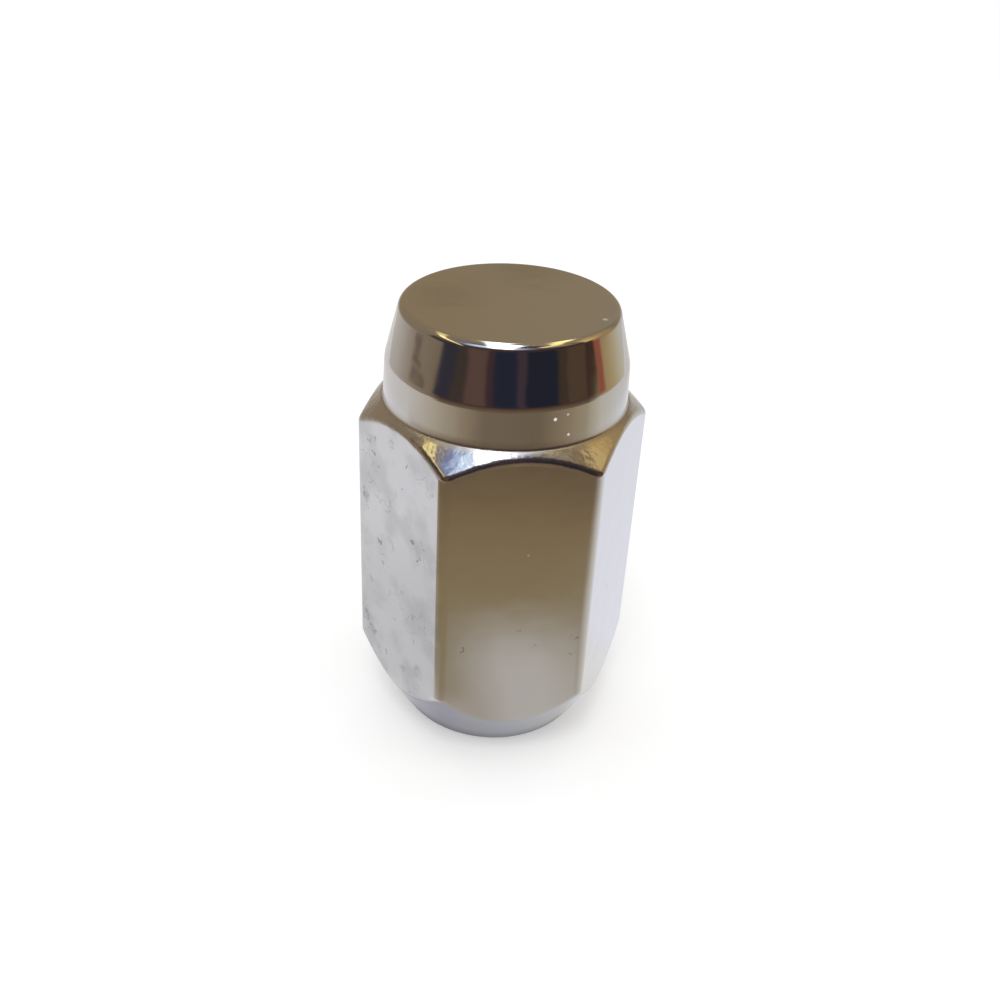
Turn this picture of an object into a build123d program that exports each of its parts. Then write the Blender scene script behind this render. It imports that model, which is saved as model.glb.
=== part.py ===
"""Closed-end wheel lug nut, one solid piece of cold-formed steel.

Millimetres. The origin is the centre of the open end, which the nut stands on,
+Z runs up the thread axis to the closed end, and one wrench flat faces -Y.
"""

import os
from math import radians, sqrt, tan

from build123d import *

# Overall size
height = 35.0  # open end to flat closed end
across_flats = 19.0  # wrench size

# Round neck over the hexagon
neck_set_in = 0.5  # from a wrench flat in to the foot of the neck
band_height = 3.0  # nearly straight band at the foot of the neck
band_draft = 2.7  # degrees from upright
taper_height = 4.15  # tapered part from the band up to the closed end
taper_draft = 14.3  # degrees from upright
neck_foot_round = 0.4  # hollow corner between the neck and the hexagon's chamfer
band_edge_round = 2.5  # blunt edge between the band and the taper
top_edge_round = 0.65  # edge of the flat closed end

# Hexagon
chamfer_slope = 45.0  # degrees from level, the cone that trims the upper corners
hexagon_corner_round = 1.0  # upright corners
hexagon_edge_round = 0.8  # where the flats run out into the chamfer and the seat

# Conical seat that centres the nut in the wheel
seat_half_angle = 30.0  # degrees from the axis, a 60 degree seat
seat_edge_round = 1.1  # lower edge of the seat
face_land = 0.42  # width of the flat ring round the mouth that the nut stands on

# Blind tapped hole, M12 x 1.5, modelled plain at the thread's minor diameter
thread_diameter = 12.0
thread_pitch = 1.5
minor_depth = 0.5413  # thread depth as a share of the pitch, in an ISO nut thread
mouth_clearance = 0.1  # countersink past the thread's major radius
countersink_half_angle = 60.0  # degrees from the axis
cap_thickness = 5.9  # metal between the drill point and the closed end
drill_half_angle = 59.0  # degrees from the axis, a 118 degree drill point

# Radii and levels that follow from the sizes above
flat_distance = across_flats / 2
corner_distance = across_flats / sqrt(3)
neck_foot_radius = flat_distance - neck_set_in
neck_foot_level = height - taper_height - band_height
band_top_level = neck_foot_level + band_height
band_top_radius = neck_foot_radius - band_height * tan(radians(band_draft))
top_radius = band_top_radius - taper_height * tan(radians(taper_draft))

bore_radius = thread_diameter / 2 - minor_depth * thread_pitch
mouth_radius = thread_diameter / 2 + mouth_clearance
drill_point_height = bore_radius / tan(radians(drill_half_angle))
bore_depth = height - cap_thickness - drill_point_height

# The outer envelope reaches past the hexagon's sharp corners, which then trim it
envelope_radius = corner_distance + 1.0
chamfer_drop = (envelope_radius - neck_foot_radius) * tan(radians(chamfer_slope))
seat_edge_tangent = seat_edge_round / tan(radians(45 + seat_half_angle / 2))
seat_tip_radius = mouth_radius + face_land + seat_edge_tangent
seat_rise = (envelope_radius - seat_tip_radius) / tan(radians(seat_half_angle))

# Corners of the turned envelope, as (radius, level)
seat_tip = (seat_tip_radius, 0)
neck_foot = (neck_foot_radius, neck_foot_level)
band_edge = (band_top_radius, band_top_level)
top_edge = (top_radius, height)

with BuildPart() as lug_nut:
    # Turned envelope: seat cone, neck, taper and closed end in one half profile
    with BuildSketch(Plane.YZ) as envelope:
        with BuildLine():
            Polyline(
                (0, 0),
                seat_tip,
                (envelope_radius, seat_rise),
                (envelope_radius, neck_foot_level - chamfer_drop),
                neck_foot,
                band_edge,
                top_edge,
                (0, height),
                close=True,
            )
        make_face()
        for corner, round_radius in (
            (seat_tip, seat_edge_round),
            (neck_foot, neck_foot_round),
            (band_edge, band_edge_round),
            (top_edge, top_edge_round),
        ):
            fillet(envelope.vertices().sort_by_distance((*corner, 0))[0], round_radius)
    revolve(axis=Axis.Z)

    # Hexagonal bar with rounded upright corners, flats facing -Y and +Y
    with BuildSketch(Plane.XY) as bar:
        RegularPolygon(radius=flat_distance, side_count=6, major_radius=False)
        fillet(bar.vertices(), radius=hexagon_corner_round)
    extrude(amount=height, mode=Mode.INTERSECT)
    # Their run-outs into the two cones are the only edges neither straight nor circular
    run_outs = lug_nut.edges().filter_by(
        lambda edge: edge.geom_type not in (GeomType.LINE, GeomType.CIRCLE)
    )
    fillet(run_outs, radius=hexagon_edge_round)

    # Blind tapped hole, countersunk at the mouth and pointed at the far end
    with Locations(Location((0, 0, 0), (180, 0, 0))):
        CounterSinkHole(
            radius=bore_radius,
            counter_sink_radius=mouth_radius,
            depth=bore_depth,
            counter_sink_angle=2 * countersink_half_angle,
        )
    with Locations((0, 0, bore_depth)):
        Cone(
            bottom_radius=bore_radius,
            top_radius=0,
            height=drill_point_height,
            align=(Align.CENTER, Align.CENTER, Align.MIN),
            mode=Mode.SUBTRACT,
        )
lug_nut.part.label = "lug_nut"

os.makedirs("parts", exist_ok=True)
export_step(lug_nut.part, "parts/lug_nut.step")
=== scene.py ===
"""Closed-end wheel lug nut in bright chrome plate, standing on its open end.

Sizes are in millimetres and turn to metres where a mesh is made. Z is the thread
axis, the floor is at z = 0, and one wrench flat faces -Y. The nut is one closed mesh,
and the lit cards round it, which only its metal sees, stand in for a room.
"""

from math import atan, cos, pi, radians, sin, tan

import bpy
import numpy as np
from mathutils import Matrix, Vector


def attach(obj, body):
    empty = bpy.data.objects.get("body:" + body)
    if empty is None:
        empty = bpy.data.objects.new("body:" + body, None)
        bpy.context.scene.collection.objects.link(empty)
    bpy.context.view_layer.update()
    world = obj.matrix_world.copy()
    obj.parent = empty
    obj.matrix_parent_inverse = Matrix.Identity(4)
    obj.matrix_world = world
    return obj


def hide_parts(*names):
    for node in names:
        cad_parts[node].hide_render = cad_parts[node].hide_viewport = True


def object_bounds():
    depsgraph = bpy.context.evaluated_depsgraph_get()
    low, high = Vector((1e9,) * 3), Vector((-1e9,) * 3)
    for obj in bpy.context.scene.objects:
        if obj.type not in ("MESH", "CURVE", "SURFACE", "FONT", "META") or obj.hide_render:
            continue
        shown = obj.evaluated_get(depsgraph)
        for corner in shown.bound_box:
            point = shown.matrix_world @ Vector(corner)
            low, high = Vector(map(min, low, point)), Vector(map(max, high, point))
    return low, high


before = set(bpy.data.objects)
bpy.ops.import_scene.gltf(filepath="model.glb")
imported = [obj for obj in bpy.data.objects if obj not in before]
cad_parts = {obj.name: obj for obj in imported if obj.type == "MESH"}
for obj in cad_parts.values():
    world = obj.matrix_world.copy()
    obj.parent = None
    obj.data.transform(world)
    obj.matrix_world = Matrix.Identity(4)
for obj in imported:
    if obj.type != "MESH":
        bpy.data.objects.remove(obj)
cad_box = [list(corner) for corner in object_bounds()]
MM = 0.001

# The height and the width across flats come from the solid's box, and the other sizes
# are the solid's own
height = cad_box[1][2] / MM
across_flats = (cad_box[1][1] - cad_box[0][1]) / MM
neck_set_in = 0.5
band_height, band_draft = 3.0, 2.7
taper_height, taper_draft = 4.15, 14.3
neck_foot_round, band_edge_round, top_edge_round = 0.4, 2.5, 0.65
chamfer_slope = 45.0
hexagon_corner_round, hexagon_edge_round = 1.0, 0.8
seat_half_angle, seat_edge_round, face_land = 30.0, 1.1, 0.42
thread_diameter, thread_pitch, thread_depth_in_pitches = 12.0, 1.5, 0.5413
mouth_clearance, countersink_half_angle = 0.1, 60.0
cap_thickness, drill_half_angle = 5.9, 59.0

flat_distance = across_flats / 2
neck_foot_radius = flat_distance - neck_set_in
neck_foot_level = height - taper_height - band_height
band_top_level = neck_foot_level + band_height
band_top_radius = neck_foot_radius - band_height * tan(radians(band_draft))
top_radius = band_top_radius - taper_height * tan(radians(taper_draft))
major_radius = thread_diameter / 2
minor_radius = major_radius - thread_depth_in_pitches * thread_pitch
mouth_radius = major_radius + mouth_clearance
drill_tip_level = height - cap_thickness
bore_end_level = drill_tip_level - minor_radius / tan(radians(drill_half_angle))
# Where the seat cone would meet the floor if its edge weren't rounded
seat_tip_radius = mouth_radius + face_land
seat_tip_radius += seat_edge_round / tan(radians(45 + seat_half_angle / 2))


# ---------------------------------------------------------------- surfaces
def ramp(value, start, end):
    """Smooth step: 0 before start, 1 after end, and t * t * (3 - 2 t) between them."""
    part = np.clip((np.asarray(value, float) - start) / (end - start), 0, 1)
    return part * part * (3 - 2 * part)


def outward(lean):
    """Unit normal in the (radius, level) half plane of a side that leans back from
    upright by an angle: (cos lean, sin lean)."""
    return np.array([cos(radians(lean)), sin(radians(lean))])


def rounded(corner, lean_before, lean_after, radius, steps):
    """Arc that rounds a corner of the half profile. Its centre lies a radius away from
    both sides, and each point is the centre plus the radius times a normal that turns
    from one side's lean to the other's. A negative radius fills a hollow corner."""
    sides = np.array([outward(lean_before), outward(lean_after)])
    centre = np.array(corner) - radius * np.linalg.solve(sides, np.ones(2))
    lean = np.radians(np.linspace(lean_before, lean_after, steps + 1))
    return centre + radius * np.column_stack([np.cos(lean), np.sin(lean)])


def shares(steps, edge):
    """Shares of a straight run between two rounds, ends left out: even steps, with one
    more close to each end so that smooth shading stays out of the flat part."""
    return np.concatenate([[edge], np.linspace(0, 1, steps + 1)[1:-1], [1 - edge]])


def between(start, end, part):
    """Points at each share of the way from start to end: start + share * (end - start)."""
    part = np.asarray(part).reshape((-1,) + (1,) * np.ndim(start))
    return np.asarray(start) + part * (np.asarray(end) - np.asarray(start))


# Steps along a flat and round a corner, and a short one at both ends of a flat, which
# keeps smooth shading out of it
flat_steps, corner_steps, end_step = 16, 12, 0.06


def hexagon_line():
    """Plan of the hexagon with rounded corners, drawn hexagon_edge_round inside the
    flats, and its outward normal at each point. On a flat the point is the flat's
    distance along its normal plus a sideways offset, and at a corner it is the corner's
    centre plus what is left of the corner radius along a normal that turns by 60
    degrees."""
    reach = flat_distance - hexagon_corner_round
    half_flat = reach * tan(radians(30))
    line_distance = flat_distance - hexagon_edge_round
    widest = atan(half_flat / line_distance)
    even = line_distance * np.tan(np.linspace(-1, 1, flat_steps + 1) * widest)
    sideways = np.concatenate(
        [[even[0], even[0] + end_step], even[1:-1], [half_flat - end_step, half_flat]]
    )
    swing = np.linspace(0, 60, corner_steps + 1)[1:-1]
    turn = np.concatenate([np.zeros(len(sideways)), swing])
    along = np.concatenate([sideways, np.full(len(swing), half_flat)])
    facing = -90 + 60 * np.arange(6)[:, None]
    face = np.radians(facing + 0 * turn)
    bent = np.radians(facing + turn)
    across = np.stack([-np.sin(face), np.cos(face)], -1)
    ahead = np.stack([np.cos(face), np.sin(face)], -1)
    normal = np.stack([np.cos(bent), np.sin(bent)], -1)
    corner = reach * ahead + along[None, :, None] * across
    line = corner + (hexagon_corner_round - hexagon_edge_round) * normal
    return line.reshape(-1, 2), normal.reshape(-1, 2)


def swung(before, after, steps):
    """Directions that swing from one unit vector to another in even angles, ends
    included: (sin((1-t) w) before + sin(t w) after) / sin w, with w the angle
    between them."""
    angle = np.arccos(np.clip((before * after).sum(-1), -1, 1))[None, :, None]
    part = np.linspace(0, 1, steps + 1)[:, None, None]
    mixed = np.sin((1 - part) * angle) * before + np.sin(part * angle) * after
    return mixed / np.sin(angle)


def turned(profile, angles):
    """Surface of revolution: each (radius, level) of the profile carried to every angle
    as (radius cos angle, radius sin angle, level)."""
    radius, level = np.asarray(profile, float).T
    return np.stack(
        [
            radius[:, None] * np.cos(angles),
            radius[:, None] * np.sin(angles),
            level[:, None] + 0 * angles,
        ],
        -1,
    )


def nut_outside():
    """Rows of points from just off the middle of the closed end, down the neck, over
    the hexagon and the seat, to the mouth of the bore, and the angle of each column.

    The neck, the seat and the foot are turned profiles. Where the hexagon runs out into
    the chamfer cone and the seat cone, the edge is the path of a ball rolling inside
    both: its centre follows the hexagon drawn inside by the ball's radius, at the level
    where it touches the cone, and the surface is the centre plus the radius along
    directions that swing from the cone's normal to the flat's."""
    plan, facing = hexagon_line()
    reach = np.linalg.norm(plan, axis=1)
    angles = np.unwrap(np.arctan2(plan[:, 1], plan[:, 0]))
    radial = plan / reach[:, None]
    ball = hexagon_edge_round

    foot = (neck_foot_radius, neck_foot_level)
    top_arc = rounded((top_radius, height), 90, taper_draft, top_edge_round, 10)
    band_arc = rounded(
        (band_top_radius, band_top_level), taper_draft, band_draft, band_edge_round, 4
    )
    foot_arc = rounded(foot, band_draft, chamfer_slope, -neck_foot_round, 12)
    neck = np.concatenate(
        [
            between((0, height), top_arc[0], [0.02, 0.15, 0.35, 0.55, 0.75, 0.9, 0.985]),
            top_arc,
            between(top_arc[-1], band_arc[0], shares(8, 0.015)),
            band_arc,
            between(band_arc[-1], foot_arc[0], shares(5, 0.03)),
            foot_arc,
        ]
    )
    seat_arc = rounded((seat_tip_radius, 0), -seat_half_angle, -90, seat_edge_round, 12)
    land = between(seat_arc[-1], (mouth_radius, 0), [0.15, 0.6, 1.0])

    # Where the rolling ball touches each cone
    up = np.zeros((len(plan), 1))
    wall_side = np.hstack([facing, up])
    chamfer_side = outward(chamfer_slope)
    seat_side = outward(-seat_half_angle)
    chamfer_reach = reach + ball * chamfer_side[0]
    chamfer_level = neck_foot_level - (chamfer_reach - neck_foot_radius) * (
        chamfer_side[0] / chamfer_side[1]
    )
    seat_reach = reach + ball * seat_side[0]
    seat_level = (seat_reach - seat_tip_radius) / tan(radians(seat_half_angle))
    high = np.column_stack([plan, chamfer_level - ball * chamfer_side[1]])
    low = np.column_stack([plan, seat_level - ball * seat_side[1]])
    chamfer_out = np.hstack([radial * chamfer_side[0], up + chamfer_side[1]])
    seat_out = np.hstack([radial * seat_side[0], up + seat_side[1]])

    upper_edge = high + ball * swung(chamfer_out, wall_side, 10)
    lower_edge = low + ball * swung(wall_side, seat_out, 10)
    neck_rows = turned(neck, angles)
    seat_rows = turned(seat_arc, angles)
    rows = [
        neck_rows,
        between(neck_rows[-1], upper_edge[0], shares(4, 0.05)),
        upper_edge,
        between(upper_edge[-1], lower_edge[0], shares(16, 0.003)),
        lower_edge,
        between(lower_edge[-1], seat_rows[0], shares(6, 0.02)),
        seat_rows,
        turned(land, angles),
    ]
    return np.concatenate(rows), angles


# One pitch of an ISO nut thread as (height within the pitch, share of the full depth):
# a crest a quarter of the pitch wide, 60 degree flanks, and a root of an eighth
crest, root = thread_pitch / 4, thread_pitch / 8
flank = (thread_pitch - crest - root) / 2
thread_steps = np.concatenate(
    [
        [0, crest / 2, crest, crest + flank / 3, crest + flank * 2 / 3],
        crest + flank + root * np.array([0, 0.5, 1]),
        crest + flank + root + flank * np.array([1, 2]) / 3,
    ]
)
thread_depths = np.array([0, 0, 0, 1 / 3, 2 / 3, 1, 1, 1, 2 / 3, 1 / 3])
# The thread is at its full depth up to the first level, and has run out at the second
thread_full_level, thread_end_level = 20.5, 23.5


def threaded_bore(angles):
    """Right-hand thread inside the bore. Row k stands at its step within the pitch plus
    whole pitches, and rises by one pitch per turn: level = step + pitch * (turn +
    angle / 360). The radius is the minor radius plus the thread's depth there, which
    fades out towards the blind end as a tap leaves it, and is never less than the
    countersink's cone. Levels are held between the mouth and the end of the thread, so
    rows past either end fall on it."""
    turns = int(thread_end_level / thread_pitch) + 2
    level = (np.arange(-1, turns)[:, None] * thread_pitch + thread_steps).ravel()
    depth = np.tile(thread_depths, turns + 1)[:, None]
    level = level[:, None] + thread_pitch * (angles - angles[0]) / (2 * pi)
    level = np.clip(level, 0, thread_end_level)
    fade = (thread_end_level - level) / (thread_end_level - thread_full_level)
    radius = minor_radius + (major_radius - minor_radius) * depth * np.clip(fade, 0, 1)
    mouth = mouth_radius - level * tan(radians(countersink_half_angle))
    radius = np.maximum(radius, mouth)
    return np.stack([radius * np.cos(angles), radius * np.sin(angles), level], -1)


def blind_end(angles):
    """Plain bore past the thread and the cone that the drill leaves, turned rows."""
    start, shoulder = (minor_radius, thread_end_level), (minor_radius, bore_end_level)
    cone = between(shoulder, (0, drill_tip_level), [0, 0.03, 0.4, 0.75, 0.97])
    return turned(np.concatenate([between(start, shoulder, [0.5, 0.97]), cone]), angles)


def strips(first, count, columns, shift=0):
    """Triangles between neighbouring rows of a closed grid. At the seam the last column
    meets the first one, `shift` rows further on, as a helix needs."""
    row, column = np.meshgrid(np.arange(count - 1), np.arange(columns), indexing="ij")
    step = np.where(column == columns - 1, shift, 0)
    after = np.where(column == columns - 1, 0, column + 1)
    top = np.minimum(row + step, count - 1)
    low = np.minimum(row + step + 1, count - 1)
    a, b = row * columns + column, (row + 1) * columns + column
    c, d = low * columns + after, top * columns + after
    corners = np.stack([np.stack([a, b, c], -1), np.stack([a, c, d], -1)], 2)
    return first + corners.reshape(-1, 3)


def fan(pole, ring, columns, outwards):
    """Triangles from a pole to the ring of points round it."""
    here = ring + np.arange(columns)
    after = ring + (np.arange(columns) + 1) % columns
    pair = (here, after) if outwards else (after, here)
    return np.column_stack([np.full(columns, pole), *pair])


def make_nut():
    """The whole nut as one closed surface: the outside, the threaded bore and its blind
    end, with points that fall together merged and empty triangles left out."""
    outside, angles = nut_outside()
    thread, end = threaded_bore(angles), blind_end(angles)
    columns = len(angles)
    sheets = [outside, thread, end]
    points = [np.array([[0, 0, height], [0, 0, drill_tip_level]])]
    points += [sheet.reshape(-1, 3) for sheet in sheets]
    starts = np.cumsum([0] + [len(part) for part in points])[1:]
    out_start, thread_start, end_start, total = starts
    plated = [
        fan(0, out_start, columns, True),
        strips(out_start, len(outside), columns),
    ]
    bare = [
        strips(thread_start, len(thread), columns, len(thread_steps)),
        strips(end_start - columns, len(end) + 1, columns),
        fan(1, total - columns, columns, False),
    ]
    faces = np.concatenate(plated + bare)
    in_bore = np.arange(len(faces)) >= sum(len(part) for part in plated)
    points = np.concatenate(points)
    _, kept, merged = np.unique(
        np.round(points, 6), axis=0, return_index=True, return_inverse=True
    )
    points, faces = points[kept], merged.reshape(-1)[faces]
    a, b, c = faces.T
    real = (a != b) & (b != c) & (c != a)
    return points * MM, faces[real], in_bore[real]


def put_mesh(name, points, faces, shade_smooth=True):
    """A mesh object at the origin with its place in its points."""
    mesh = bpy.data.meshes.new(name)
    mesh.from_pydata(np.asarray(points).tolist(), [], np.asarray(faces).tolist())
    mesh.polygons.foreach_set("use_smooth", np.full(len(mesh.polygons), shade_smooth))
    mesh.update()
    piece = bpy.data.objects.new(name, mesh)
    bpy.context.scene.collection.objects.link(piece)
    return piece


# ---------------------------------------------------------------- materials
def colour(sheet_value):
    """An sRGB hex value as linear red, green, blue and alpha."""
    parts = np.array([int(sheet_value[i : i + 2], 16) for i in (1, 3, 5)]) / 255
    linear = np.where(parts > 0.04045, ((parts + 0.055) / 1.055) ** 2.4, parts / 12.92)
    return (*linear.tolist(), 1.0)


def add_node(tree, kind, inputs=None, **settings):
    """Adds a node; its kind is named without the leading ShaderNode. The settings are its
    own, and each input, by name or number, takes a value, the output that feeds it, or
    the node whose first output does."""
    made = tree.nodes.new("ShaderNode" + kind)
    for name, value in settings.items():
        setattr(made, name, value)
    for socket, value in (inputs or {}).items():
        if isinstance(value, bpy.types.Node):
            value = value.outputs[0]
        if isinstance(value, bpy.types.NodeSocket):
            tree.links.new(value, made.inputs[socket])
        else:
            made.inputs[socket].default_value = value
    return made


# Settings that come back: what a Math node does, and a MapRange node's smooth step, whose
# inputs 1 and 2 are where it starts and ends and 3 and 4 what it gives there (0 and 1 if
# left out). A Mix node's input 0 is the share, and 6 and 7 are the two colours
times = {"operation": "MULTIPLY"}
times_plus = {"operation": "MULTIPLY_ADD"}
minus = {"operation": "SUBTRACT"}
most = {"operation": "MAXIMUM"}
smooth = {"interpolation_type": "SMOOTHSTEP"}


def new_material(name):
    """An empty node material and its tree."""
    material = bpy.data.materials.new(name)
    material.use_nodes = True
    material.node_tree.nodes.clear()
    return material, material.node_tree


def in_millimetres(tree):
    """The place on the piece, in millimetres."""
    place = add_node(tree, "TexCoord").outputs["Object"]
    return add_node(tree, "VectorMath", {0: place, "Scale": 1 / MM}, operation="SCALE")


def on_flat(facing, across, level):
    """A point of a wrench flat, from how far across it is and its level."""
    a = radians(facing)
    return (
        flat_distance * cos(a) - across * sin(a),
        flat_distance * sin(a) + across * cos(a),
        level,
    )


def on_flats(marks):
    """Marks of the wrench flats as (point, radius, strength)."""
    return [(on_flat(*mark[:3]), *mark[3:]) for mark in marks]


# Share of a soft spot's radius within which it has its full strength
spot_core = 0.35


def spots(tree, place, marks):
    """The strongest of a list of soft round spots at a place. A mark is its point, its
    radius in millimetres and its strength."""
    strongest = 0.0
    for point, radius, strength in marks:
        away = add_node(tree, "VectorMath", {0: place, 1: point}, operation="DISTANCE")
        away = away.outputs["Value"]
        inputs = {0: away, 1: radius, 2: radius * spot_core, 4: strength}
        spot = add_node(tree, "MapRange", inputs, **smooth)
        strongest = add_node(tree, "Math", {0: strongest, 1: spot}, **most)
    return strongest


# Pits and stains as (facing, across, level, radius, strength) on the wrench flats, where
# rust has begun to lift the plating. Most are on the worn flat
worn_facing = -150
rust_pits = [
    (-150, -3.70, 24.99, 0.26, 0.6),
    (-150, -3.01, 25.47, 0.22, 0.6),
    (-150, -3.17, 24.23, 0.20, 0.9),
    (-150, -2.38, 23.34, 0.22, 0.7),
    (-150, 1.14, 24.88, 0.22, 0.8),
    (-150, 0.51, 23.00, 0.17, 0.6),
    (-150, -4.50, 20.48, 0.24, 0.8),
    (-150, -4.52, 19.94, 0.22, 0.8),
    (-150, -4.11, 19.25, 0.26, 0.9),
    (-150, -2.69, 20.70, 0.18, 0.6),
    (-150, -0.26, 22.10, 0.16, 0.6),
    (-150, -1.34, 19.11, 0.20, 0.5),
    (-150, -2.47, 16.69, 0.26, 0.8),
    (-150, -1.90, 17.55, 0.17, 0.7),
    (-150, 1.96, 19.07, 0.24, 0.9),
    (-150, 3.35, 19.33, 0.18, 0.5),
    (-150, 2.49, 17.79, 0.20, 0.9),
    (-150, -2.07, 15.06, 0.26, 0.6),
    (-150, -0.42, 10.63, 0.16, 0.5),
    (-150, 2.34, 10.09, 0.22, 1.0),
    (-150, -1.59, 6.55, 0.20, 0.6),
    (-90, -3.79, 11.43, 0.24, 0.6),
    (-90, 4.79, 12.18, 0.26, 0.7),
    (-90, 4.67, 10.85, 0.20, 0.3),
    (-90, 0.39, 12.98, 0.18, 0.25),
    (-30, -0.79, 13.46, 0.24, 0.7),
    (-30, -1.30, 14.30, 0.16, 0.4),
    (90, 1.80, 9.30, 0.24, 0.8),
    (90, -2.90, 20.10, 0.20, 0.6),
    (150, 2.10, 14.20, 0.24, 0.7),
    (150, -1.60, 22.60, 0.18, 0.7),
    (30, -3.20, 8.10, 0.22, 0.7),
]
rust_stains = [
    (-150, -0.90, 26.02, 0.60, 0.8),
    (-150, -3.30, 25.20, 0.55, 0.4),
    (-150, -4.30, 19.90, 0.80, 0.5),
    (-150, 2.30, 18.60, 1.10, 0.4),
    (-150, -3.55, 12.39, 0.55, 0.5),
    (-150, -1.11, 12.61, 0.45, 0.6),
    (-150, 0.55, 13.72, 0.40, 0.6),
    (-150, -4.30, 8.60, 0.75, 0.9),
    (-150, -3.60, 7.50, 0.65, 0.9),
    (-150, 3.22, 13.24, 0.50, 0.5),
    (-150, 0.72, 6.49, 0.50, 0.6),
    (-150, 2.79, 7.53, 0.85, 0.6),
    (90, 1.40, 9.60, 0.80, 0.4),
    (150, 2.60, 13.60, 0.70, 0.4),
]
# Painted glints as small white specks, each as (point, radius, strength), three of them
# on the band
painted_glint_specks = [
    ((2.04, -8.66, 29.99), 0.17, 1.0),
    ((3.07, -8.41, 28.69), 0.14, 0.9),
    ((2.95, -8.45, 30.20), 0.14, 0.8),
    ((6.01, -3.82, 35.00), 0.26, 0.35),
    ((0.72, -9.50, 19.66), 0.14, 0.15),
]


def ragged_place(tree, place):
    """The place shaken by up to a third of a millimetre, for marks with ragged edges."""
    shake = add_node(tree, "TexNoise", {"Vector": place, "Scale": 2.6}).outputs["Color"]
    shake = add_node(tree, "VectorMath", {0: shake, 1: (0.5, 0.5, 0.5)}, **minus)
    inputs = {0: shake, 1: (1.3, 1.3, 1.3), 2: place}
    return add_node(tree, "VectorMath", inputs, **times_plus)


def crazed_stains(tree, place, ragged):
    """Rust stains broken up by a noise of half a millimetre."""
    stain = spots(tree, ragged, on_flats(rust_stains))
    noise = add_node(tree, "TexNoise", {"Vector": place, "Scale": 1.9, "Detail": 3.0})
    crazing = add_node(tree, "MapRange", {0: noise, 1: 0.36, 2: 0.66, 3: 0.25}, **smooth)
    return add_node(tree, "Math", {0: stain, 1: crazing}, **times)


def fine_pits(tree, ragged, patches):
    """Pits 0.1 mm across and some 1.2 mm apart, where the patches are strong."""
    cells = add_node(tree, "TexVoronoi", {"Vector": ragged, "Scale": 0.85})
    inputs = {0: cells.outputs["Distance"], 1: 0.13, 2: 0.06}
    pit = add_node(tree, "MapRange", inputs, **smooth)
    inputs = {0: patches, 1: 0.60, 2: 0.72, 4: 0.45}
    strength = add_node(tree, "MapRange", inputs, **smooth)
    return add_node(tree, "Math", {0: pit, 1: strength}, **times)


def hair_cracks(tree, place, patches, worn):
    """Fine lines where a slow noise passes through its middle, in patches on the worn
    flat."""
    noise = add_node(tree, "TexNoise", {"Vector": place, "Scale": 0.7, "Detail": 1.0})
    off_middle = add_node(tree, "Math", {0: noise, 1: 0.5}, **minus)
    off_middle = add_node(tree, "Math", {0: off_middle}, operation="ABSOLUTE")
    line = add_node(tree, "MapRange", {0: off_middle, 1: 0.020, 2: 0.004}, **smooth)
    inputs = {0: patches, 1: 0.66, 2: 0.76, 4: 0.35}
    strength = add_node(tree, "MapRange", inputs, **smooth)
    crack = add_node(tree, "Math", {0: line, 1: strength}, **times)
    return add_node(tree, "Math", {0: crack, 1: worn}, **times)


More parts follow.
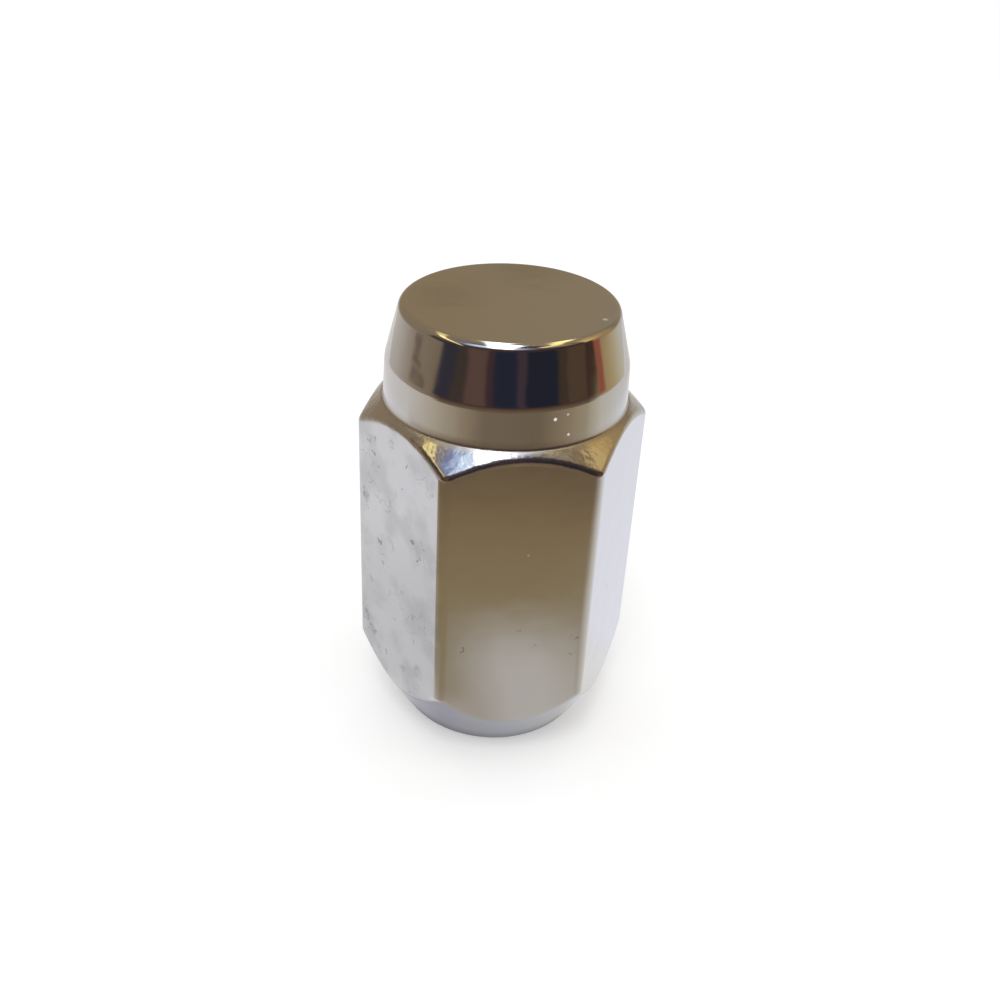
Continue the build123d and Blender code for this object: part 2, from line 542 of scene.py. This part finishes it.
def bright_chrome_plate():
    """Decorative chrome: a thin chromium flash over nickel on cold-formed steel, plated
    in a barrel. The wrench flats, the neck and the closed end were drawn smooth in the
    die and mirror the room with a slight waver. The chamfer kept the uneven skin of the
    forging, so that a lamp breaks up there into many small lights, and the plating is
    thin and dull in the hollow corner over it, which painted shade makes darker and
    browner. Small dark pits and grey stains stand where rust has started, most of them
    on one flat, and a few small white specks are painted on as tiny glints."""
    material, tree = new_material("bright_chrome_plate")
    place = in_millimetres(tree)
    finish_and_shade = add_node(tree, "Attribute", attribute_name="finish_and_shade").outputs["Color"]
    forged, hollow, worn = add_node(tree, "SeparateColor", {0: finish_and_shade}).outputs

    ragged = ragged_place(tree, place)
    pit = spots(tree, ragged, on_flats(rust_pits))
    stain = crazed_stains(tree, place, ragged)
    speck = spots(tree, place, painted_glint_specks)
    patches = add_node(tree, "TexNoise", {"Vector": place, "Scale": 0.30, "Detail": 1.0})
    patches = add_node(tree, "Math", {0: worn, 1: 0.16, 2: patches}, **times_plus)
    fine = fine_pits(tree, ragged, patches)
    crack = hair_cracks(tree, place, patches, worn)
    sunk = add_node(tree, "Math", {0: pit, 1: fine}, **most)
    dark = add_node(tree, "Math", {0: sunk, 1: crack}, **most)
    haze = add_node(tree, "TexNoise", {"Vector": place, "Scale": 0.28, "Detail": 3.0})
    haze = add_node(tree, "MapRange", {0: haze, 1: 0.40, 2: 0.62}, **smooth)
    cloud = add_node(tree, "Math", {0: haze, 1: worn}, **times)

    # Upright hairlines from handling, 0.05 mm wide, blur it a little. They are drawn a
    # third of a millimetre apart, as coarse as they need to show
    drawn_out = add_node(tree, "VectorMath", {0: place, 1: (1, 1, 0.12)}, **times)
    hairline = add_node(tree, "TexNoise", {"Vector": drawn_out, "Scale": 3.0})
    inputs = {0: hairline, 1: 0.45, 2: 0.75, 3: 0.085, 4: 0.105}
    rough = add_node(tree, "MapRange", inputs, **smooth)
    rough = add_node(tree, "Math", {0: forged, 1: 0.09, 2: rough}, **times_plus)

    # Each mark as its share, how far its tint covers the plate, and added roughness: rust
    # blemishes and haze, painted shade in the hollow corner, and painted glint specks
    plate = colour("#C8C8CB")
    for share, covers, tint, rougher in (
        (cloud, 0.8, "#B5B7B9", 0.015),
        # Painted shade: the hollow corner darker and browner, and also duller
        (hollow, 0.35, "#A1927C", 0.24),
        (stain, 0.75, "#8B8E90", 0.07),
        (dark, 0.75, "#686B6D", 0.14),
        # Painted glints: small white specks
        (speck, 1.0, "#F4F4F2", 0.30),
    ):
        rough = add_node(tree, "Math", {0: share, 1: rougher, 2: rough}, **times_plus)
        covered = add_node(tree, "Math", {0: share, 1: covers}, **times)
        inputs = {0: covered, 6: plate, 7: colour(tint)}
        plate = add_node(tree, "Mix", inputs, data_type="RGBA").outputs[2]

    # The drawn skin swells by 20 microns over 2 mm, the forged one by 50 over a
    # millimetre, and the pits are sunk by 14
    swell = add_node(tree, "TexNoise", {"Vector": place, "Scale": 0.42, "Detail": 1.0})
    skin = add_node(tree, "TexNoise", {"Vector": place, "Scale": 1.15})
    skin = add_node(tree, "Math", {0: skin, 1: forged}, **times)
    bent = add_node(tree, "Bump", {"Height": swell, "Distance": 0.020 * MM, "Strength": 1.0})
    for raised, lift in ((skin, 0.050), (sunk, -0.014)):
        inputs = {"Height": raised, "Distance": lift * MM, "Strength": 1.0, "Normal": bent}
        bent = add_node(tree, "Bump", inputs)

    # The painted glint specks aren't metal
    metal = add_node(tree, "Math", {0: 1.0, 1: speck}, **minus)
    inputs = {"Base Color": plate, "Metallic": metal, "Roughness": rough, "Normal": bent}
    shader = add_node(tree, "BsdfPrincipled", inputs)
    add_node(tree, "OutputMaterial", {"Surface": shader})
    return material


def oiled_bare_steel():
    """Tapped low-carbon steel that the plating doesn't reach. The tap and the drill left
    fine rings, 0.12 mm apart, and a film of old cutting oil lies brown and uneven over
    the grey metal, so it is dark with a soft, patchy shine."""
    material, tree = new_material("oiled_bare_steel")
    place = in_millimetres(tree)
    film = add_node(tree, "TexNoise", {"Vector": place, "Scale": 0.5, "Detail": 3.0})
    film = add_node(tree, "MapRange", {0: film, 1: 0.38, 2: 0.66}, **smooth)
    inputs = {0: film, 6: colour("#7E7A75"), 7: colour("#5C4F42")}
    steel = add_node(tree, "Mix", inputs, data_type="RGBA").outputs[2]
    rough = add_node(tree, "MapRange", {0: film, 3: 0.42, 4: 0.27})
    mottle = add_node(tree, "TexNoise", {"Vector": place, "Scale": 2.0})
    flat = add_node(tree, "VectorMath", {0: place, 1: (0.05, 0.05, 1)}, **times)
    rings = add_node(tree, "TexNoise", {"Vector": flat, "Scale": 8.0, "Detail": 1.0})
    bent = add_node(tree, "Bump", {"Height": mottle, "Distance": 0.02 * MM, "Strength": 1.0})
    inputs = {"Height": rings, "Distance": 0.006 * MM, "Strength": 1.0, "Normal": bent}
    bent = add_node(tree, "Bump", inputs)
    inputs = {"Base Color": steel, "Metallic": 1.0, "Roughness": rough, "Normal": bent}
    shader = add_node(tree, "BsdfPrincipled", inputs)
    add_node(tree, "OutputMaterial", {"Surface": shader})
    return material


def finish_and_shade_shares(points):
    """How much of each finish and of painted shade a point has, as columns of red, green,
    blue and alpha: the forged skin of the chamfer, the dull plating and painted shade of
    the hollow corner, and the worn flat. Each is a smooth step on the distance from its
    own surface, in millimetres."""
    x, y, level = points.T / MM
    reach = np.hypot(x, y)
    # Zero on the chamfer, which slopes by 45 degrees
    off_cone = (reach - neck_foot_radius) + (level - neck_foot_level)
    out_of_foot = reach - neck_foot_radius
    forged = (1 - ramp(np.abs(off_cone), 0.10, 0.40)) * ramp(out_of_foot, 0.03, 0.14)
    depth = np.hypot(out_of_foot, level - neck_foot_level)
    # The hollow corner's dull plating and its painted shade
    hollow = (1 - ramp(depth, 0.12, 0.42)) * (reach > neck_foot_radius - 0.3)
    facing = x * cos(radians(worn_facing)) + y * sin(radians(worn_facing))
    worn = ramp(facing, flat_distance - 0.25, flat_distance - 0.02)
    return np.column_stack([forged, hollow, worn, np.ones(len(points))])


# ---------------------------------------------------------------- the nut
points, faces, in_bore = make_nut()
nut = put_mesh("chrome_lug_nut", points, faces)
finish_and_shade_layer = nut.data.attributes.new("finish_and_shade", "FLOAT_COLOR", "POINT")
finish_and_shade_layer.data.foreach_set("color", finish_and_shade_shares(points).astype(np.float32).ravel())
nut.data.materials.append(bright_chrome_plate())
nut.data.materials.append(oiled_bare_steel())
nut.data.polygons.foreach_set("material_index", in_bore.astype(np.int32))
# Only the thread and the rims inside the bore have edges sharper than this
crisp_angle = 32.0
nut.data.set_sharp_from_angle(angle=radians(crisp_angle))
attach(nut, "root")
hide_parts("lug_nut")


# ---------------------------------------------------------------- the studio
neck_middle, table_level = 30.0, 0.15

# How far from the middle of the neck each bent card hangs: where two of them overlap,
# the nearer one covers the other
card_distance = {
    "room_walls": 118,
    "shaded_table_edge": 97,
    "front_drapes": 96,
    "loose_fringes": 95,
    "red_card": 95,
    "grey_cloth": 94,
    "bluish_cloth": 93,
    "ochre_shade": 93,
    "warm_lamp_0": 92,
    "warm_lamp_1": 92,
    "main_softbox": 90,
}


def light_path_white(tree):
    """1 for camera, glossy and transmission rays, which see a white studio, else 0."""
    path = add_node(tree, "LightPath").outputs
    seen = add_node(tree, "Math", {0: path["Is Camera Ray"], 1: path["Is Glossy Ray"]}, **most)
    return add_node(tree, "Math", {0: seen, 1: path["Is Transmission Ray"]}, **most)


def card_paper():
    """Lit paper of the studio's cards: its colour comes with the mesh, and where the
    paper thins out at an edge it lets the studio behind it through."""
    material, tree = new_material("lit_card_paper")
    tint = add_node(tree, "Attribute", attribute_name="tint").outputs
    lit = add_node(tree, "Emission", {"Color": tint["Color"]})
    clear = add_node(tree, "BsdfTransparent")
    mixed = add_node(tree, "MixShader", {0: tint["Alpha"], 1: clear, 2: lit})
    add_node(tree, "OutputMaterial", {"Surface": mixed})
    return material


paper = card_paper()


def blend(first, second, share):
    """first where share is 0, second where it is 1, for arrays of colours."""
    share = np.asarray(share)[..., None]
    return first * (1 - share) + second * share


def sheet_colour(sheet_value):
    """An sRGB hex value as a linear row of red, green and blue."""
    return np.array(colour(sheet_value)[:3])


def colours_along(place, stops):
    """Colours that run evenly between (place, hex) stops."""
    at = np.array([stop[0] for stop in stops], float)
    tints = np.array([sheet_colour(stop[1]) for stop in stops])
    return np.stack([np.interp(place, at, tints[:, i]) for i in range(3)], -1)


def around(azimuth, elevation, distance):
    """Points round the middle of the neck: middle + distance * (sin a cos e, -cos a
    cos e, sin e), with azimuth a 0 in front and 90 at +X."""
    a, e = np.radians(azimuth), np.radians(elevation)
    flat = np.cos(e)
    way = np.stack([np.sin(a) * flat, -np.cos(a) * flat, np.sin(e) + 0 * a], -1)
    return np.array([0, 0, neck_middle]) + distance * way


def patch(azimuths, elevations, steps):
    """Grid of azimuths and elevations, row by row, `steps` = (rows, columns)."""
    rows = np.linspace(*elevations, steps[0])
    return np.meshgrid(np.linspace(*azimuths, steps[1]), rows)


def hang_card(name, points, tint, cover=1.0, bright=1.0):
    """A studio card over a grid of points. The metal mirrors it, and neither the camera
    nor the floor's light takes any notice of it."""
    rows, columns = points.shape[:2]
    row, column = np.meshgrid(np.arange(rows - 1), np.arange(columns - 1), indexing="ij")
    a = (row * columns + column).ravel()
    quads = np.column_stack([a, a + 1, a + columns + 1, a + columns])
    card = put_mesh(name, points.reshape(-1, 3) * MM, quads)
    paint = np.ones((rows, columns, 4))
    paint[..., :3] = tint * bright
    paint[..., 3] = cover
    layer = card.data.attributes.new("tint", "FLOAT_COLOR", "POINT")
    layer.data.foreach_set("color", paint.astype(np.float32).ravel())
    card.data.materials.append(paper)
    card.visible_camera = card.visible_diffuse = card.visible_shadow = False
    card.visible_transmission = card.visible_volume_scatter = False


def hang_round(name, azimuth, elevation, tint, cover=1.0, bright=1.0):
    """A studio card that is bent round the middle of the neck at its own distance."""
    points = around(azimuth, elevation, card_distance[name])
    hang_card(name, points, tint, cover, bright)


def soft_frame(azimuth, elevation, spread, edge):
    """Cover that is 1 inside a rectangle of azimuths and elevations and thins out over
    the edge's width outside it."""
    sides = [
        ramp(azimuth, spread[0] - edge, spread[0] + edge),
        1 - ramp(azimuth, spread[1] - edge, spread[1] + edge),
        ramp(elevation, spread[2] - edge, spread[2] + edge),
        1 - ramp(elevation, spread[3] - edge, spread[3] + edge),
    ]
    return sides[0] * sides[1] * sides[2] * sides[3]


def room_walls():
    """Warm brown walls and ceiling round the nut, paler low down at the sides and darker
    over the front. The closed end mirrors two faint darker spots at the back."""
    azimuth, elevation = patch((-180, 180), (-17, 89.5), (161, 301))
    high = colours_along(
        azimuth,
        [(-180, "#A08C6D"), (-110, "#98876F"), (-74, "#8F7D66"), (-50, "#665444")]
        + [(-40, "#564234"), (46, "#564234"), (58, "#8A7658"), (72, "#A08B6C")]
        + [(105, "#B89A6C"), (118, "#93826A"), (135, "#A2947C"), (180, "#A08C6D")],
    )
    low = colours_along(
        azimuth,
        [(-180, "#D8D3CB"), (-125, "#C8BFB2"), (-100, "#AA9784"), (-75, "#8C7B67")]
        + [(75, "#A08A68"), (95, "#C0A877"), (115, "#D2C7AA"), (130, "#D2CCC4")]
        + [(150, "#C0BAB3"), (180, "#D8D3CB")],
    )
    tint = blend(low, high, ramp(elevation, -12, 6))
    # Two faint darker spots on the wall behind the nut
    darker_spots = np.exp(-(((azimuth - 169) / 3.4) ** 2) - ((elevation - 21.1) / 1.1) ** 2)
    darker_spots += np.exp(-(((azimuth - 176) / 3) ** 2) - ((elevation - 23.6) / 0.8) ** 2)
    hang_round("room_walls", azimuth, elevation, tint * (1.03 - 0.22 * darker_spots)[..., None])


def front_drapes():
    """Dark cloths that hang side by side in front at the height of the neck. Their edges
    are soft and waver a little, and they thin out over the nut."""
    azimuth, elevation = patch((-94, 86), (-6.5, 44), (80, 400))
    waver = 1.0 * np.sin(np.radians(24 * elevation + 3 * azimuth))
    waver += 0.6 * np.sin(np.radians(61 * elevation - 8 * azimuth + 40))
    at = azimuth + waver
    # Each cloth as the azimuth of its right edge and its colour
    cloths = [
        (-69, "#43404A"),
        (-57, "#3E3A42"),
        (-44, "#4C4038"),
        (-26, "#6A5248"),
        (-19, "#4A3738"),
        (1, "#2C303E"),
        (9, "#4C3E44"),
        (38, "#292B37"),
        (47, "#4C3F33"),
        (66, "#5E4B3A"),
        (79, "#4A392E"),
    ]
    start, half_seam, stops = -90, 1.5, []
    for end, tint in cloths:
        stops += [(start, tint), (end - half_seam, tint)]
        start = end + half_seam
    tint = colours_along(at, stops)
    upper = colours_along(azimuth, [(-90, "#5E5138"), (-60, "#54433A"), (40, "#42352E")])
    tint = blend(tint, upper, ramp(elevation, 10, 24))
    tint = blend(tint, sheet_colour("#54453E"), azimuth < -80)
    left_edge = -72 - 18 * ramp(elevation, 3, 14)
    cover = ramp(at, left_edge - 2.0, left_edge + 2.5) * (1 - ramp(azimuth, 77.5, 80))
    cover = cover * (1 - ramp(elevation, 22, 42)) * ramp(elevation, -6.5, -2.0)
    hang_round("front_drapes", azimuth, elevation, tint, cover)


def loose_fringes():
    """Loose fringes left of the drapes, each a thin slanting stroke given by the azimuths
    of its ends, its elevation at the left end, its rise per degree, and its cover."""
    azimuth, elevation = patch((-112, -80), (-7.5, 0), (76, 65))
    half_width, cover = 0.36, 0
    for start, end, level, rise, dense in (
        (-106, -96, -2.9, 0.137, 0.9),
        (-103, -95, -2.9, 0.04, 0.55),
        (-104.5, -91, -4.2, 0.121, 0.9),
        (-102, -84, -5.4, 0.105, 0.95),
    ):
        off = elevation - level - rise * (azimuth - start)
        inside = ramp(azimuth, start - 2, start + 2) * (1 - ramp(azimuth, end - 2, end + 3))
        stroke = dense * inside * np.exp(-((off / half_width) ** 2))
        cover = np.maximum(cover, stroke)
    hang_round("loose_fringes", azimuth, elevation, sheet_colour("#44342C"), cover)


def shaded_table_edge():
    """The far edge of the table below the drapes, with painted shade that darkens it towards
    its top.
    """
    azimuth, elevation = patch((-80, 84), (-18.2, 0), (18, 60))
    # Painted shade: darker towards the top
    tint = blend(sheet_colour("#7A6752"), sheet_colour("#553F35"), ramp(elevation, -17, -4))
    cover = 1 - ramp(np.abs(azimuth - 2), 66, 80)
    hang_round("shaded_table_edge", azimuth, elevation, tint, cover)


def red_card():
    """A narrow red card at the right of the drapes."""
    azimuth, elevation = patch((75, 90), (-11, 10), (16, 20))
    cover = soft_frame(azimuth, elevation, (78.2, 86.6, -9, 8), 1.6)
    hang_round("red_card", azimuth, elevation, sheet_colour("#A85F4A"), cover)


def lit_pale_paper(turn, reach):
    """Colour of the pale paper round the nut, with painted light and shade: warmer in front
    and at the right, brighter and bluish further back at the right, and dimmer near the
    nut at the left."""
    # Painted light: the paper's tint changes round the nut
    turns = (-180, -100, -30, 20, 76, 102, 150, 180)
    red = (0.90, 0.97, 0.84, 0.83, 0.88, 0.96, 0.95, 0.90)
    green = (0.90, 0.955, 0.82, 0.81, 0.84, 0.97, 0.96, 0.90)
    blue = (0.90, 0.965, 0.80, 0.76, 0.74, 1.04, 1.01, 0.90)
    tint = np.stack([np.interp(turn, turns, part) for part in (red, green, blue)], -1)
    # Painted shade near the nut at its left
    dimmer = 0.12 * (1 - ramp(reach, 24, 40)) * ramp(-turn, 40, 70) * ramp(turn, -175, -125)
    return tint * (1 - dimmer[..., None])


def paper_and_light_share(turn, reach, x, y):
    """How far the paper and a painted light show in place of the table: the paper at the
    right, beyond a slanting edge at the left and close round the nut, and a painted pool
    of light in a strip before its front flat."""
    right = ramp(turn - 0.35 * (reach - 32), 8, 90)
    past_edge = y + 7.2 + 0.40 * (x + 12)
    left = np.maximum(ramp(past_edge, -4.6, 1.6), 0.14 * ramp(past_edge, -18, -6))
    left = left * ramp(-turn, 30, 46)
    # A painted pool of light in a strip before the front flat
    across = (-10, -6, -3.5, -1, 1.5, 4.5, 8, 11)
    lit = np.interp(x, across, (0, 0.04, 0.16, 0.62, 1, 1, 0.62, 0.22))
    lit = lit * (1 - ramp(-y, 19.5, 32)) * (y < 0)
    close = 1 - ramp(reach, 15.5, 19.5)
    near = np.maximum(0.64 * lit, 0.36 * close)
    return 1 - (1 - right) * (1 - left) * (1 - near)


def contact_shade(turn, reach):
    """Painted shade on the paper round the nut's foot, darkest where the two touch."""
    shade = colours_along(
        turn,
        [(-180, "#D4D4D6"), (-90, "#D8D9DE"), (-60, "#BCBCC4"), (-40, "#AEACB7")]
        + [(-20, "#B6B6BA"), (0, "#BCC0C6"), (20, "#C8C8CA"), (42, "#CECDCD")]
        + [(66, "#E0E2E2"), (110, "#DEDFDF"), (180, "#D4D4D6")],
    )
    return shade * (0.16 + 0.84 * ramp(reach, 7.15, 8.0))[..., None]


def brown_table():
    """Brown table top in front of the pale paper that the nut stands on. Far out it turns
    from brown in front to pale at the sides. Turn is the azimuth and reach the distance
    from the thread axis."""
    turn, reach = np.meshgrid(np.linspace(-180, 180, 217), np.linspace(6.9, 112, 120))
    a = np.radians(turn)
    x, y = reach * np.sin(a), -reach * np.cos(a)
    brown = colours_along(
        reach, [(18, "#A8977A"), (30, "#A2906C"), (42, "#9A8461"), (56, "#7E694F")]
    )
    far = colours_along(
        turn,
        [(-180, "#E4E0DA"), (-136, "#EDE9E7"), (-105, "#E8E3D9"), (-73, "#CFC3AC")]
        + [(-41, "#A6947A"), (-26, "#8A7A66"), (21, "#84745C"), (52, "#AC997C")]
        + [(68, "#BBAE91"), (84, "#DDD6C3"), (110, "#E4E1DC"), (137, "#DDD9D4")]
        + [(180, "#E4E0DA")],
    )
    # Paper in place of the table, and a painted pool of light before the front flat
    tint = blend(brown, lit_pale_paper(turn, reach), paper_and_light_share(turn, reach, x, y))
    tint = blend(tint, far, ramp(reach, 56, 72))
    # Painted shade of the nut round its foot
    tint = blend(tint, contact_shade(turn, reach), 1 - ramp(reach, 9.6, 12.2))
    # The white floor shows through a little near the nut, and more at the sides
    side = ramp(np.abs(turn - 4), 34, 62)
    cover = 0.94 + 0.06 * ramp(reach, 12, 15)
    cover = cover - 0.5 * side * ramp(reach, 9.8, 11) * (1 - ramp(reach, 12.5, 15))
    hang_card("brown_table", np.stack([x, y, 0 * a + table_level], -1), tint, cover)


def main_softbox():
    """A small strong softbox, bent from high in front over the nut to the back, where it
    narrows to its left side. Across and along are angles from its middle line."""
    across, along = patch((-13, 13), (40, 132), (96, 40))
    a = np.radians(-17)
    ahead = np.array([np.sin(a), -np.cos(a), 0])
    level_way = np.cos(np.radians(along))[..., None] * ahead
    level_way[..., 2] = np.sin(np.radians(along))
    sideways = np.tan(np.radians(across))[..., None] * np.array([np.cos(a), np.sin(a), 0])
    points = np.array([0, 0, neck_middle])
    points = points + card_distance["main_softbox"] * (level_way + sideways)
    right = np.interp(along, (86, 104), (8.5, -3.5))
    cover = soft_frame(across, along, (-8.5, right, 47, 124), 3.5)
    hang_card("main_softbox", points, sheet_colour("#FCFCFF"), cover, 7.0)


def high_cloths():
    """Bluish cloth behind and beside the softbox, and a grey one at its right that hangs
    lower the further it reaches."""
    azimuth, elevation = patch((-80, 30), (36, 66), (30, 90))
    tint = colours_along(
        azimuth,
        [(-74, "#767A90"), (-62, "#707EB0"), (-46, "#D6EAFF"), (-2, "#E4E8FF")]
        + [(6, "#B4BADA"), (16, "#7A8098"), (28, "#746E74")],
    )
    cover = soft_frame(azimuth, elevation, (-70, 23, 41, 58), 5)
    hang_round("bluish_cloth", azimuth, elevation, tint, cover, 1.4)
    azimuth, elevation = patch((18, 78), (28, 62), (34, 60))
    tint = colours_along(
        azimuth, [(30, "#66626E"), (44, "#807870"), (56, "#9A8970"), (67, "#6A5840")]
    )
    lower = np.interp(azimuth, (24, 68), (45, 33))
    cover = soft_frame(azimuth, elevation, (24, 70, lower, lower + 14), 4)
    hang_round("grey_cloth", azimuth, elevation, tint, cover, 1.4)


def warm_lamps():
    """Two bows of warm light high at the left and at the right. Each is its half height,
    its path as (azimuth, elevation) and its brightness as (azimuth, brightness)."""
    bows = [
        (
            4.0,
            [(-146, 56), (-124, 57.5), (-100, 51), (-88, 45), (-72, 38), (-60, 30), (-52, 20)],
            [(-146, 1.3), (-108, 1.3), (-97, 2.6), (-72, 2.2), (-56, 1.3)],
        ),
        (
            6.0,
            [(30, 55), (52, 56), (68, 59.5), (84, 66), (101, 64), (112, 62), (140, 61)],
            [(30, 1.3), (46, 1.6), (62, 1.7), (100, 2.4)],
        ),
    ]
    tint = sheet_colour("#F4DE92")
    for number, (half_height, path, glow) in enumerate(bows):
        turns, levels = np.transpose(path)
        azimuth, off = patch((turns[0], turns[-1]), (-1, 1), (14, 90))
        elevation = np.interp(azimuth, turns, levels) + off * half_height
        to_end = np.minimum(azimuth - turns[0], turns[-1] - azimuth)
        cover = (1 - ramp(np.abs(off), 0.5, 1.0)) * ramp(to_end, 0, 5)
        bright = np.interp(azimuth, *np.transpose(glow))[..., None]
        hang_round(f"warm_lamp_{number}", azimuth, elevation, tint, cover, bright)


def ochre_shade():
    """An ochre lamp shade low at the right."""
    azimuth, elevation = patch((58, 112), (8, 54), (24, 24))
    cover = soft_frame(azimuth, elevation, (71.5, 95, 20, 44), 4)
    tint = colours_along(azimuth, [(76, "#F6D492"), (88, "#DDB974"), (96, "#CDAC6E")])
    hang_round("ochre_shade", azimuth, elevation, tint, cover)


def pale_floor_paint():
    """Matt white paint, with a little of its own white for what looks at it, so that it
    ends in a white background and still takes the nut's shadow."""
    material, tree = new_material("pale_floor_paint")
    matt = add_node(tree, "BsdfDiffuse", {"Color": colour("#F2F2F2")})
    lift = add_node(tree, "Math", {0: light_path_white(tree), 1: 0.25}, **times)
    glow = add_node(tree, "Emission", {"Color": colour("#FFFFFF"), "Strength": lift})
    both = add_node(tree, "AddShader", {0: matt, 1: glow})
    add_node(tree, "OutputMaterial", {"Surface": both})
    return material


def make_floor():
    """A flat square, 3 m across."""
    far = 1.5
    corners = [(-far, -far, 0), (far, -far, 0), (far, far, 0), (-far, far, 0)]
    floor = put_mesh("floor", corners, [(0, 1, 2, 3)], shade_smooth=False)
    floor.data.materials.append(pale_floor_paint())


def set_world():
    """White to what looks at it, and a little less as a light."""
    world = bpy.data.worlds.new("white_studio")
    bpy.context.scene.world = world
    world.use_nodes = True
    tree = world.node_tree
    tree.nodes.clear()
    inputs = {0: light_path_white(tree), 3: 0.82, 4: 1.0}
    strength = add_node(tree, "MapRange", inputs)
    inputs = {"Color": colour("#FFFFFF"), "Strength": strength}
    sky = add_node(tree, "Background", inputs)
    add_node(tree, "OutputWorld", {"Surface": sky})


def add_lamp(name, azimuth, elevation, distance, size, level):
    """A square soft lamp turned to the nut. Azimuth 0 is in front, +90 at +X. Its power,
    level * (pi * distance)^2 / sin(elevation), lights the floor to that level of its own
    colour."""
    a, e = radians(azimuth), radians(elevation)
    back = np.array([sin(a) * cos(e), -cos(a) * cos(e), sin(e)])
    light = bpy.data.lights.new(name, "AREA")
    light.shape, light.size = "SQUARE", size * MM
    light.energy = level * (pi * distance * MM) ** 2 / sin(e)
    lamp = bpy.data.objects.new(name, light)
    bpy.context.scene.collection.objects.link(lamp)
    side = np.cross([0, 0, 1], back)
    side /= np.linalg.norm(side)
    turn = np.column_stack([side, np.cross(back, side), back])
    lamp.matrix_world = Matrix.Translation((back * distance * MM).tolist()) @ Matrix(
        turn.tolist()
    ).to_4x4()
    lamp.visible_glossy = False


def add_camera():
    """The camera stands in front, a little left, and looks down at the nut. Its place is
    in millimetres."""
    place = np.array([-12.81, -75.23, 65.40])
    azimuth, elevation, roll = radians(-5.63), radians(31.74), radians(-1.03)
    right = np.array([cos(azimuth), sin(azimuth), 0])
    back = np.array(
        [sin(azimuth) * cos(elevation), -cos(azimuth) * cos(elevation), sin(elevation)]
    )
    upward = np.cross(back, right)
    side = cos(roll) * right - sin(roll) * upward
    top = sin(roll) * right + cos(roll) * upward
    lens = bpy.data.cameras.new("camera")
    lens.lens, lens.sensor_width, lens.shift_x = 41.24, 36.0, 0.07
    lens.clip_start, lens.clip_end = 0.002, 10.0
    camera = bpy.data.objects.new("camera", lens)
    bpy.context.scene.collection.objects.link(camera)
    turn = np.column_stack([side, top, back])
    camera.matrix_world = Matrix.Translation((place * MM).tolist()) @ Matrix(
        turn.tolist()
    ).to_4x4()
    bpy.context.scene.camera = camera


make_floor()
set_world()
room_walls()
front_drapes()
loose_fringes()
shaded_table_edge()
red_card()
brown_table()
main_softbox()
high_cloths()
warm_lamps()
ochre_shade()
add_lamp("key_lamp", azimuth=-20, elevation=62, distance=400, size=120, level=0.16)
add_camera()
bpy.context.scene.view_settings.view_transform = "Standard"
